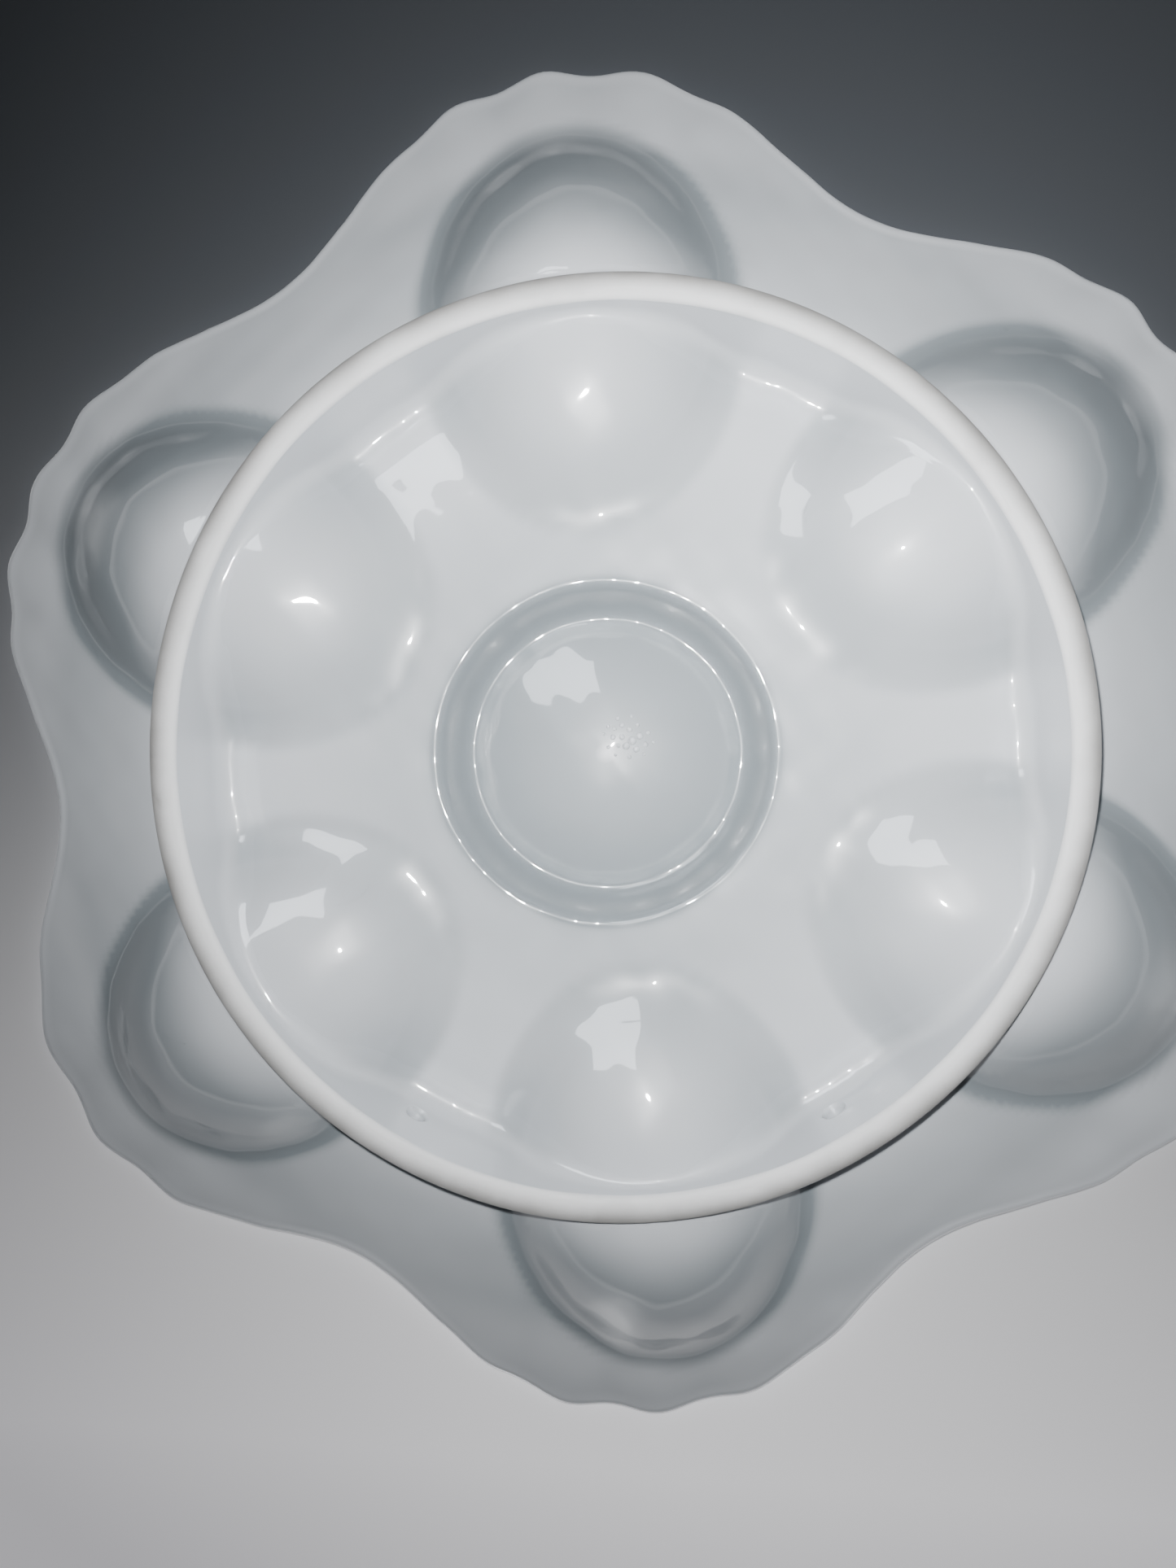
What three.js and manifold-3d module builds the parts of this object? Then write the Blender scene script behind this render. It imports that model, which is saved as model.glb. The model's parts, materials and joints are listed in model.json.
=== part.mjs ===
// Six-well egg plate in white glazed porcelain: a six-lobed shell with a frilled rim, six egg-shaped
// wells round a raised centre cup, and a round foot ring under it.
// Millimetres, +Z up. The origin is the middle of the foot ring's standing edge, and the wells open upwards.
import * as THREE from 'three';
import { mergeVertices } from 'three/addons/utils/BufferGeometryUtils.js';
import Module from 'manifold-3d';

// Outline of the rim
const LOBES = 6;
const TIP_RADIUS = 126; // middle of the plate to the tip of a lobe
const NOTCH_RADIUS = 106.5; // middle of the plate to the bottom of a notch
const LOBE_FULLNESS = 0.75; // below 1 a lobe is blunter than a plain wave
const FRILL_WAVES = 7; // small waves along one lobe
const FRILL_DEPTH = 0.9; // half the height of a frill wave

// Heights above the standing edge
const HEIGHT = 31; // the tips of the lobes
const NOTCH_DROP = 3.5; // how far the rim dips at a notch
const LAND_CLEARANCE = 14; // underside of the lands between the wells
const WELL_CLEARANCE = 3.8; // underside of the wells, at their deepest

// Thickness
const WALL = 4.5; // the shell
const RIM_WALL = 3.2; // the shell at the edge of the rim
const EDGE_ROUND = 1.2; // how far the rim's round edge stands out
const GAP = 0.3; // clearance between solids that meet

// Deck: flat in the middle, then climbing to the rim
const DECK_FLAT_RADIUS = 48;
const DECK_CLIMB_POWER = 1.8;

// Wells, as seen from below
const WELL_MIDDLE_RADIUS = 78; // middle of the plate to the widest place of a well
const WELL_INNER_LENGTH = 37; // from there to the end towards the middle
const WELL_OUTER_LENGTH = 34; // from there to the end towards the rim
const WELL_HALF_WIDTH = 26.5;
const WELL_POWER = 2.2; // above 2 the floor is flatter and the sides are steeper
const LIP_INSET = 2.2; // the hollow is this much smaller all round than the outside of its wall

// Centre cup
const CUP_SHIFT = -1.9; // the cup sits a little off the middle, along X
const CUP_FOOT_RADIUS = 29.5; // where its side leaves the deck, on the underside
const CUP_FLOOR_RADIUS = 24.5; // where its side meets its floor, on the underside
const CUP_RISE = 9.5; // floor's edge above the deck
const CUP_DISH = 5; // how deep its top is dished
const CUP_SIDE_INSET = 2.8; // the top side of its flank stands this much further out
const CUP_BORDER = 2; // deck round the flank that belongs to the cup's solid

// Foot ring
const FOOT_RADIUS = 76.2; // middle of the standing edge
const FOOT_EDGE_WIDTH = 3.2; // flat standing edge
const FOOT_ROUND = 0.9; // corners of the standing edge
const FOOT_INNER_DRAFT = 0.144; // how much the wall widens inwards for each millimetre of its height
const FOOT_OUTER_DRAFT = 0.066; // and outwards

// Two holes through the foot ring, for a wire that hangs the plate on a wall
const HANG_HOLE_RADIUS = 1.7;
const HANG_HOLE_UNDER_LAND = 4; // the holes lie this far below the underside of the lands
const HANG_HOLE_LANDS = [1, 2]; // the lands that they are under, counted from +X
const HANG_HOLE_TURN = 3.7; // degrees past the middle of the land
const HANG_BAR_LENGTH = 24; // the bar that cuts a hole passes both sides of the foot wall
const HANG_HOLE_SIDES = 16;

// Mesh fineness
const SEGMENTS = 84; // two for each frill wave
const ROWS = [12, 24.5, 27.3, 30, 32.3, 37, 44, 52, 61, 70, 79, 88, 96, 104, 111, 118];
const EGG_POINTS = 32;
const CUTTER_TOP = 60;
const CUTTER_BOTTOM = -20;

const PORCELAIN = { color: 0xdfe3e6, roughness: 0.14, metalness: 0 };
const BARE_PORCELAIN = { color: 0xd9d7d3, roughness: 0.75, metalness: 0 };

const wasm = await Module();
wasm.setup();

const lobeAngle = (index) => ((index + 0.5) * 2 * Math.PI) / LOBES;
const clamp = (value) => Math.min(1, Math.max(0, value));
const smooth = (value) => clamp(value) ** 2 * (3 - 2 * clamp(value));

// 1 in the middle of a lobe and 0 in a notch.
function lobeShare(angle) {
  const wave = 0.5 + 0.5 * Math.cos(LOBES * (angle - lobeAngle(0)));
  return wave ** LOBE_FULLNESS;
}

function rimRadius(angle) {
  const share = lobeShare(angle);
  const frill = Math.cos(LOBES * FRILL_WAVES * (angle - lobeAngle(0))) - 1;
  return NOTCH_RADIUS + (TIP_RADIUS - NOTCH_RADIUS) * share + FRILL_DEPTH * frill * share ** 2;
}

const rimHeight = (angle) => HEIGHT - NOTCH_DROP * (1 - lobeShare(angle));

// The deck without wells or cup, on the side that lies `wall` above the underside.
function deckHeight(radius, angle, wall) {
  const reach = clamp((radius - DECK_FLAT_RADIUS) / (rimRadius(angle) - DECK_FLAT_RADIUS));
  const climb = reach ** DECK_CLIMB_POWER;
  const thickness = wall * (1 + (RIM_WALL / WALL - 1) * climb);
  return LAND_CLEARANCE + (rimHeight(angle) - RIM_WALL - LAND_CLEARANCE) * climb + thickness;
}

// 0 in the middle of a well's floor and 1 on its edge and beyond.
function wellShare(x, y, angle, inset) {
  const along = x * Math.cos(angle) + y * Math.sin(angle) - WELL_MIDDLE_RADIUS;
  const across = y * Math.cos(angle) - x * Math.sin(angle);
  const length = (along < 0 ? WELL_INNER_LENGTH : WELL_OUTER_LENGTH) - inset;
  return clamp(Math.hypot(along / length, across / (WELL_HALF_WIDTH - inset)) ** WELL_POWER);
}

// The cup's rise over the deck at a distance from its own middle.
function cupRise(distance, inset) {
  const floorRadius = CUP_FLOOR_RADIUS + inset;
  const side = smooth((CUP_FOOT_RADIUS + inset - distance) / (CUP_FOOT_RADIUS - CUP_FLOOR_RADIUS));
  const dish = clamp(1 - (distance / floorRadius) ** 2);
  return CUP_RISE * side - CUP_DISH * dish;
}

// Height of one side of the shell: a wall of 0 gives the underside, and WALL the top.
function shellHeight(x, y, wall) {
  const angle = Math.atan2(y, x);
  const topShare = wall / WALL;
  const deck = deckHeight(Math.hypot(x, y), angle, wall);
  const index = Math.floor((angle + 2 * Math.PI) / (2 * Math.PI / LOBES));
  const share = wellShare(x, y, lobeAngle(index), LIP_INSET * topShare);
  const floor = WELL_CLEARANCE + wall;
  const rise = cupRise(Math.hypot(x - CUP_SHIFT, y), CUP_SIDE_INSET * topShare);
  return floor + (deck - floor) * share + rise;
}

// The closed solid between two heights over the plate's outline. Its rows of points follow the cup near the
// middle and the rim at the edge. A LatheGeometry gives the closed net, and each point is then moved to its place.
function outlineSolid(lowHeight, highHeight) {
  const edge = TIP_RADIUS - EDGE_ROUND;
  const low = ROWS.map((row) => new THREE.Vector2(row, 0));
  const high = ROWS.map((row) => new THREE.Vector2(row, 2)).reverse();
  const rim = [[edge, 0], [TIP_RADIUS, 1], [edge, 2]].map(([r, side]) => new THREE.Vector2(r, side));
  const profile = [new THREE.Vector2(0, 0), ...low, ...rim, ...high, new THREE.Vector2(0, 2)];
  const geometry = new THREE.LatheGeometry(profile, SEGMENTS);
  const points = geometry.attributes.position;
  for (let i = 0; i < points.count; i += 1) {
    const [x, side, y] = [points.getX(i), points.getY(i), -points.getZ(i)];
    points.setXYZ(i, ...placed(x, y, side, lowHeight, highHeight));
  }
  return solidOf(geometry);
}

function placed(x, y, side, lowHeight, highHeight) {
  const row = Math.hypot(x, y);
  const angle = Math.atan2(y, x);
  const inward = 1 - (1 - rimRadius(angle) / TIP_RADIUS) * (row / TIP_RADIUS) ** 2;
  const shift = CUP_SHIFT * (1 - smooth(row / WELL_MIDDLE_RADIUS));
  const [px, py] = [x * inward + shift, y * inward];
  const [low, high] = [lowHeight(px, py), highHeight(px, py)];
  return [px, py, low + ((high - low) * side) / 2];
}

// A closed geometry as a solid for joining and cutting.
function solidOf(geometry) {
  geometry.deleteAttribute('normal');
  geometry.deleteAttribute('uv');
  const merged = mergeVertices(geometry, 1e-4);
  const faces = [];
  for (let i = 0; i < merged.index.count; i += 3) {
    const [a, b, c] = [0, 1, 2].map((corner) => merged.index.getX(i + corner));
    if (a !== b && b !== c && c !== a) faces.push(a, b, c);
  }
  const vertProperties = Float32Array.from(merged.attributes.position.array);
  return new wasm.Manifold(new wasm.Mesh({ numProp: 3, vertProperties, triVerts: Uint32Array.from(faces) }));
}

// An upright prism with a well's egg-shaped outline, `grow` larger all round.
function wellPrism(angle, grow) {
  const outline = new THREE.Shape();
  for (let i = 0; i < EGG_POINTS; i += 1) {
    const turn = (i * 2 * Math.PI) / EGG_POINTS;
    const length = Math.cos(turn) < 0 ? WELL_INNER_LENGTH : WELL_OUTER_LENGTH;
    const x = WELL_MIDDLE_RADIUS + (length + grow) * Math.cos(turn);
    const y = (WELL_HALF_WIDTH + grow) * Math.sin(turn);
    if (i === 0) outline.moveTo(x, y);
    else outline.lineTo(x, y);
  }
  const options = { depth: CUTTER_TOP - CUTTER_BOTTOM, bevelEnabled: false };
  const geometry = new THREE.ExtrudeGeometry(outline, options);
  return solidOf(geometry.translate(0, 0, CUTTER_BOTTOM).rotateZ(angle));
}

// An upright round prism over the centre cup, `grow` larger all round.
function cupPrism(grow) {
  const radius = CUP_FOOT_RADIUS + CUP_SIDE_INSET + CUP_BORDER + grow;
  const geometry = new THREE.CylinderGeometry(radius, radius, CUTTER_TOP - CUTTER_BOTTOM, SEGMENTS / 2);
  geometry.rotateX(Math.PI / 2);
  return solidOf(geometry.translate(CUP_SHIFT, 0, (CUTTER_TOP + CUTTER_BOTTOM) / 2));
}

// The foot ring's wall up to the height of the rim, before the shell over it cuts it off.
function footWall() {
  const inner = FOOT_RADIUS - FOOT_EDGE_WIDTH / 2;
  const outer = FOOT_RADIUS + FOOT_EDGE_WIDTH / 2;
  const rise = HEIGHT - FOOT_ROUND;
  const profile = [
    [inner, 0],
    [outer, 0],
    [outer + FOOT_ROUND, FOOT_ROUND],
    [outer + FOOT_ROUND + FOOT_OUTER_DRAFT * rise, HEIGHT],
    [inner - FOOT_ROUND - FOOT_INNER_DRAFT * rise, HEIGHT],
    [inner - FOOT_ROUND, FOOT_ROUND],
    [inner, 0],
  ];
  const geometry = new THREE.LatheGeometry(profile.map(([r, z]) => new THREE.Vector2(r, z)), SEGMENTS);
  return solidOf(geometry.rotateX(Math.PI / 2));
}

// A round bar that runs outwards through the foot ring's wall, under one of the lands.
function hangBar(land) {
  const angle = (land * 2 * Math.PI) / LOBES + THREE.MathUtils.degToRad(HANG_HOLE_TURN);
  const geometry = new THREE.CylinderGeometry(HANG_HOLE_RADIUS, HANG_HOLE_RADIUS, HANG_BAR_LENGTH, HANG_HOLE_SIDES);
  geometry.rotateZ(Math.PI / 2).translate(FOOT_RADIUS, 0, LAND_CLEARANCE - HANG_HOLE_UNDER_LAND);
  return solidOf(geometry.rotateZ(angle));
}

function meshOf(name, solid, finish) {
  const { vertProperties, triVerts } = solid.getMesh();
  const geometry = new THREE.BufferGeometry();
  geometry.setAttribute('position', new THREE.BufferAttribute(vertProperties, 3));
  geometry.setIndex(new THREE.BufferAttribute(triVerts, 1));
  geometry.computeVertexNormals();
  const mesh = new THREE.Mesh(geometry, new THREE.MeshStandardMaterial(finish));
  mesh.name = name;
  return mesh;
}

const underside = (x, y) => shellHeight(x, y, 0);
const topside = (x, y) => shellHeight(x, y, WALL);
const shell = outlineSolid(underside, topside);
const overUnderside = outlineSolid((x, y) => underside(x, y) - GAP, () => CUTTER_TOP);

const group = new THREE.Group();
const roundCup = shell.subtract(cupPrism(GAP));
let body = roundCup;
for (let index = 0; index < LOBES; index += 1) {
  const angle = lobeAngle(index);
  body = body.subtract(wellPrism(angle, GAP));
  group.add(meshOf(`egg_well_${index + 1}`, roundCup.intersect(wellPrism(angle, 0)), PORCELAIN));
}
group.add(meshOf('plate_body', body, PORCELAIN));
group.add(meshOf('centre_cup', shell.intersect(cupPrism(0)), PORCELAIN));
let foot = footWall().subtract(overUnderside);
for (const land of HANG_HOLE_LANDS) foot = foot.subtract(hangBar(land));
group.add(meshOf('foot_ring', foot, BARE_PORCELAIN));

export default group;
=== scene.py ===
"""A six-well egg plate in white glazed porcelain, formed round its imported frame.

The plate stands on its foot ring with the wells open upwards, and the camera looks at it from below, at
the side that the foot ring is on. Lengths are in metres, written as millimetres times MM.
"""

import json
import math

import bpy
import numpy as np
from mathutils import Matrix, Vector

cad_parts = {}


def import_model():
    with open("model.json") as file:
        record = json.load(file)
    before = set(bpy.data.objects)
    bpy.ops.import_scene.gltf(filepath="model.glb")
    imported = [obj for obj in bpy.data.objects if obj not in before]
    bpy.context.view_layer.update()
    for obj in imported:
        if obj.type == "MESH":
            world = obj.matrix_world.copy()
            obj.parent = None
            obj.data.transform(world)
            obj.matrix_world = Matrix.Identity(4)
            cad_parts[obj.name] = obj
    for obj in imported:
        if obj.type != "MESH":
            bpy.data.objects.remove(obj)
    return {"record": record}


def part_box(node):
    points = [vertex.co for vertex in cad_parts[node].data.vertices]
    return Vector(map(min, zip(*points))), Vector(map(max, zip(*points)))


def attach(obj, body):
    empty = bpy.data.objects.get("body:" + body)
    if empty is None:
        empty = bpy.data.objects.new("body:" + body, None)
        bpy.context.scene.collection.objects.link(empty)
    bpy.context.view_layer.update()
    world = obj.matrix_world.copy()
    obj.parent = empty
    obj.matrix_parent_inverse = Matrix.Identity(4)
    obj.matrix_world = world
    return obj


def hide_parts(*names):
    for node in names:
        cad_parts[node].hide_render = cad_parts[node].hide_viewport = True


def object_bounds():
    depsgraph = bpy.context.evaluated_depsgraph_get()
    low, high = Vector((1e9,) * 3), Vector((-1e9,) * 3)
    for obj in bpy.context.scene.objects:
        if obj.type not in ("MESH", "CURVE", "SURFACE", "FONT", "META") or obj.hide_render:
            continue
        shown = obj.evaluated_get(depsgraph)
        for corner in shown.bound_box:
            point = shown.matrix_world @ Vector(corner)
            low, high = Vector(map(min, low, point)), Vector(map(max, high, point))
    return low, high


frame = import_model()

bl_info = {
    "name": "Egg plate in glazed porcelain",
    "version": (1, 0, 0),
    "blender": (4, 5, 0),
    "location": "3D View > Sidebar > Egg plate",
    "description": "Forms a lobed six-well egg plate and its foot ring, and sets the stage for them",
    "category": "Add Mesh",
}

MM = 0.001

# Sizes that the frame holds
CAD_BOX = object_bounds()
CUP_LOW, CUP_HIGH = (np.array(corner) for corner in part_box("centre_cup"))
WELL_LOW, WELL_HIGH = (np.array(corner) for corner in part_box("egg_well_2"))
FOOT_RADIUS = next(m for m in frame["record"]["mounts"] if m["name"] == "foot_edge")["pos_m"][0]
TIP_RADIUS = CAD_BOX[1][1]
HEIGHT = CAD_BOX[1][2]
WELL_CLEARANCE = WELL_LOW[2]
WELL_HALF_WIDTH = (WELL_HIGH[0] - WELL_LOW[0]) / 2
CUP_SHIFT = (CUP_LOW[0] + CUP_HIGH[0]) / 2
CUP_OUTSIDE = (CUP_HIGH[0] - CUP_LOW[0]) / 2

# Sizes of its plan that the boxes don't give
NOTCH_RADIUS = 106.5 * MM  # middle of the plate to a notch
WELL_INNER_LENGTH = 37 * MM  # a well's middle to its end towards the middle of the plate

# Counts
LOBES = 6
COLUMNS = 600  # columns of points round the plate
FRILL_WAVES = 7  # waves of the frill along one lobe

LOBE_ANGLES = np.radians(30 + 60 * np.arange(LOBES))


def linear(code):
    """Turns an sRGB hex colour such as "e8eaea" into linear red, green, blue and alpha."""
    parts = [int(code[i : i + 2], 16) / 255 for i in (0, 2, 4)]
    return [p / 12.92 if p <= 0.04045 else ((p + 0.055) / 1.055) ** 2.4 for p in parts] + [1.0]


# ---------------------------------------------------------------- sizes and colours


def length(name, description, default):
    """A length that the user can set, shown in the scene's units."""
    return bpy.props.FloatProperty(
        name=name, description=description, default=default, unit="LENGTH", precision=4
    )


def colour(name, description, code):
    """A colour that the user can set, given as sRGB hex."""
    return bpy.props.FloatVectorProperty(
        name=name, description=description, default=linear(code), size=4, subtype="COLOR", min=0, max=1
    )


class EGGPLATE_PG_sizes(bpy.types.PropertyGroup):
    """Sizes of the clay body and of its glaze."""

    wall: length("Wall", "Thickness of the shell", 4.5 * MM)
    rim_wall: length("Rim wall", "Thickness of the shell at its edge", 3.2 * MM)
    land: length("Land clearance", "Underside of the lands above the table", 14 * MM)
    notch_drop: length("Notch drop", "How far the rim dips between two lobes", 3.5 * MM)
    blend: length("Well blend", "Height over which a well's wall runs into the deck", 3.4 * MM)
    cup_rise: length("Cup rise", "Height of the centre cup over the deck", 9.5 * MM)
    cup_dish: length("Cup dish", "How deep the top of the centre cup is dished", 5 * MM)
    cup_flank: length("Cup flank", "Width of the centre cup's side, seen from above", 5 * MM)
    foot_width: length("Foot width", "Width of the standing edge with its round corners", 5 * MM)
    foot_round: length("Foot round", "Height of the rounding of the standing edge", 1.3 * MM)
    foot_fillet: length("Foot fillet", "Size of the hollow where the foot meets the shell", 4.2 * MM)
    hang_hole: length("Hanging hole", "Radius of the two holes through the foot ring", 1.5 * MM)
    frill: length("Frill", "How far a frill wave stands out of the rim", 1.3 * MM)
    hand: length("Hand marks", "Height of the broad unevenness of the hand-finished shell", 0.32 * MM)
    ripple: length("Glaze ripple", "Height of the fine unevenness of the fired glaze", 0.1 * MM)


class EGGPLATE_PG_looks(bpy.types.PropertyGroup):
    """Colours of the fired finishes and of the stage."""

    glaze: colour("Glaze", "Clear glaze over white porcelain", "d3d7dc")
    # pooled glaze in hollows, and painted shade on steep sides, in the middle, in the cup and on the flank
    pooled_and_shaded: colour("Pooled glaze", "Glaze where it lies thick in a hollow or thin on a side", "8b9398")
    bare: colour("Bare porcelain", "Unglazed standing edge", "eeeff0")
    # also draws the greying towards the outer corner of the bare band
    smudge: colour("Smudge", "Grey wear on the bare standing edge", "9b9a98")
    table: colour("Table", "The pale table", "b6b7b8")


def sizes():
    """The sizes set in this scene."""
    return bpy.context.scene.egg_plate_sizes


def looks():
    """The colours set in this scene."""
    return bpy.context.scene.egg_plate_looks


# ---------------------------------------------------------------- shape of the shell


def smooth(value):
    """0 below 0, 1 above 1, and 3v^2 - 2v^3 between them."""
    v = np.clip(value, 0, 1)
    return v * v * (3 - 2 * v)


def ramp(value, bend):
    """0 well below 0 and the value itself well above 0, joined by a parabola that is twice `bend` wide."""
    joined = (value + bend) ** 2 / (4 * bend)
    return np.where(value < -bend, 0, np.where(value > bend, value, joined))


def soft_min(a, b, bend):
    """The lower of two heights, with a parabola rounding the crease where they come within `bend` of
    each other."""
    near = np.clip(1 - np.abs(a - b) / bend, 0, 1)
    return np.minimum(a, b) - bend * near * near / 4


# Hand-made differences between the lobes, counted from the one at 30 degrees. The tips and the wells'
# middles are in millimetres beyond the mean, and a turn is in degrees.
TIP_OFFSETS = (0.9, -0.5, 0.0, -1.8, 1.9, -0.5)
LOBE_TURNS = (1.5, 2.6, 1.6, -1.6, 0.2, 0.8)
WELL_SHIFTS = (2.5, 0.6, 1.6, 0.8, 1.6, -0.4)


def along_lobes(values, angle):
    """One value for each lobe, run smoothly into the next one's with a raised cosine from middle to
    middle."""
    place = (angle - LOBE_ANGLES[0]) / (2 * math.pi / LOBES)
    lobe = np.floor(place).astype(int)
    share = smooth(place - lobe)
    values = np.array(values)
    return values[lobe % LOBES] * (1 - share) + values[(lobe + 1) % LOBES] * share


def lobe_share(angle):
    """1 in the middle of a lobe and 0 in a notch: 1.5 w - 0.5 w^2 of a raised cosine w, so that a lobe
    is blunt."""
    turned = angle - np.radians(along_lobes(LOBE_TURNS, angle))
    wave = 0.5 + 0.5 * np.cos(LOBES * (turned - LOBE_ANGLES[0]))
    return wave * (1.5 - 0.5 * wave)


def frill_share(angle):
    """1 on a crest of the frill and 0 in its hollows: a cosine whose phase wanders a little round the
    plate, fading out towards the notches by the square of the lobe's share."""
    wander = 1.0 * np.sin(3 * angle + 0.8) + 0.7 * np.sin(5 * angle + 2.1)
    wave = 0.5 + 0.5 * np.cos(LOBES * FRILL_WAVES * (angle - LOBE_ANGLES[0]) + wander)
    return wave * lobe_share(angle) ** 2


def rim_radius(angle):
    """The notch's radius, plus the lobe's share of the way to its tip, less the frill's hollows."""
    share = lobe_share(angle)
    reach = TIP_RADIUS - NOTCH_RADIUS + along_lobes(TIP_OFFSETS, angle) * MM
    hollow = sizes().frill * (share**2 - frill_share(angle))
    return NOTCH_RADIUS + reach * share - hollow


FLAT_DECK = 48 * MM  # the deck is flat out to this radius
DECK_POWER = 1.8
WELL_INSET = 2.2 * MM  # how much smaller a well is all round on the top side
WELL_MIDDLE_IN = 2.5 * MM  # the wells' mean middle lies this far inside the frame's
WELL_END_IN = 3.5 * MM  # and the inner end this much nearer to it
WELL_POWER = 2.2
WELL_POWER_FALL = 0.5
CUP_FOOT_IN = 4.8 * MM  # the cup's side leaves the deck this far inside the frame's solid
CUP_FOOT_OUT = 2.8 * MM  # and this much further out on the top side
CUP_FOOT_BEND = 0.16  # how far the cup's two creases are rounded, as a share of the way over them
CUP_DISH_BEND = 0.15


def deck_height(radius, angle, top):
    """The deck without wells: flat, then climbing to the rim with a power of the way there. `top` is 0
    on the underside and 1 on the top side, which lies one wall higher."""
    size = sizes()
    rim = HEIGHT - size.notch_drop * (1 - lobe_share(angle)) - size.rim_wall
    climb = np.clip((radius - FLAT_DECK) / (rim_radius(angle) - FLAT_DECK), 0, 1) ** DECK_POWER
    thickness = size.wall + (size.rim_wall - size.wall) * climb
    return size.land + (rim - size.land) * climb + top * thickness


def well_share(x, y, top):
    """0 in the middle of the nearest well's floor, 1 on its egg-shaped outline and more outside it: the
    distance from the middle as a share of the outline's, to a power. The power falls towards the rim,
    where the side is one long slope."""
    angle = np.arctan2(y, x)
    lobe = np.floor(angle / (2 * math.pi / LOBES)).astype(int) % LOBES
    nearest = LOBE_ANGLES[lobe]
    inset = WELL_INSET * top
    middle = WELL_LOW[1] + WELL_INNER_LENGTH - WELL_MIDDLE_IN + np.array(WELL_SHIFTS)[lobe] * MM
    along = x * np.cos(nearest) + y * np.sin(nearest) - middle
    across = y * np.cos(nearest) - x * np.sin(nearest)
    reach = np.where(along < 0, WELL_INNER_LENGTH - WELL_END_IN, WELL_HIGH[1] - middle) - inset
    share = np.hypot(along / reach, across / (WELL_HALF_WIDTH - inset))
    outward = smooth(along / reach) * smooth(along / (np.abs(across) + 1 * MM))
    return share ** (WELL_POWER - WELL_POWER_FALL * outward)


def cup_rise(distance, top):
    """The centre cup's rise over the deck: its side is a quarter sine wave with a rolled lower edge, and
    its top is a parabola that dips towards the middle."""
    size = sizes()
    foot = CUP_OUTSIDE - CUP_FOOT_IN + CUP_FOOT_OUT * top
    floor = foot - size.cup_flank
    way = np.minimum(ramp((foot - distance) / size.cup_flank, CUP_FOOT_BEND), 1)
    side = np.sin(0.5 * math.pi * way)
    dish = ramp(1 - (distance / floor) ** 2, CUP_DISH_BEND)
    return size.cup_rise * side - size.cup_dish * dish


# Broad unevenness: for each wave its length in millimetres, its direction and its phase in degrees
HAND_WAVES = ((71, 20, 40), (58, 95, 200), (46, 150, 310), (39, 60, 120), (31, 118, 15))
# Fine unevenness of the glaze
GLAZE_WAVES = (
    (15, 10, 0), (13.5, 75, 80), (12, 130, 190), (10.5, 40, 260),
    (9.4, 165, 330), (8.6, 100, 45), (6.8, 55, 15), (5.9, 148, 220),
)
FRILL_LIFT = 0.7 * MM  # how far the rim sinks under a crest of the frill
FRILL_DEPTH = 14 * MM  # how far the frill reaches in from the rim


def waves(x, y, table):
    """The sum of plane sine waves, divided by their number."""
    total = np.zeros_like(x)
    for wavelength, direction, phase in table:
        turn = math.radians(direction)
        place = x * math.cos(turn) + y * math.sin(turn)
        total += np.sin(2 * math.pi * place / (wavelength * MM) + math.radians(phase))
    return total / len(table)


def form_height(x, y, top):
    """Height of the clay form's underside (top 0) or top side (top 1): deck and wells joined by a soft
    minimum, with the cup's rise and the unevenness of the hand added."""
    size = sizes()
    deck = deck_height(np.hypot(x, y), np.arctan2(y, x), top)
    floor = WELL_CLEARANCE + size.wall * top
    wells = floor + (deck - floor) * well_share(x, y, top)
    cup = cup_rise(np.hypot(x - CUP_SHIFT, y), top)
    return soft_min(deck, wells, size.blend) + cup + size.hand * waves(x, y, HAND_WAVES)


def shell_height(x, y, top):
    """Height of the glazed skin: the form's, with the glaze's fine unevenness added and the frill's lift
    taken off."""
    angle = np.arctan2(y, x)
    from_rim = rim_radius(angle) - np.hypot(x, y)
    lift = FRILL_LIFT * frill_share(angle) * smooth(1 - from_rim / FRILL_DEPTH)
    return form_height(x, y, top) + 2 * sizes().ripple * waves(x, y, GLAZE_WAVES) - lift


GREY_STEP = 2.5 * MM  # slope and curvature are taken over this length
HOLLOW_BEND = 280  # curvature of a hollow, for each metre, that makes it wholly grey with pooled glaze and painted shade
STEEP_SLOPE = 1.2  # slope at which the painted shade on a steep side is at its darkest
STEEP_GREY = 0.7
# painted shade in the cup, fading in over CUP_FADE
CUP_GREY = 0.25
CUP_FADE = 6 * MM
MIDDLE_GREY = 0.45  # painted shade within 34 mm of the middle, fading out to MIDDLE_REACH
MIDDLE_REACH = 62 * MM
MIDDLE_FADE = 28 * MM
FLANK_FROM = 80 * MM  # painted shade on the flank outside the foot, which greys over FLANK_START and clears over FLANK_END
FLANK_TO = 112 * MM
FLANK_START = 12 * MM
FLANK_END = 9 * MM
FLANK_GREY = 0.2
FLANK_LOBE_GREY = 0.25  # how much more painted shade the flank has in the middle of a lobe than in a notch
TOP_GREY = 0.3  # the top side's greyness as a share of the underside's


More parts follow.
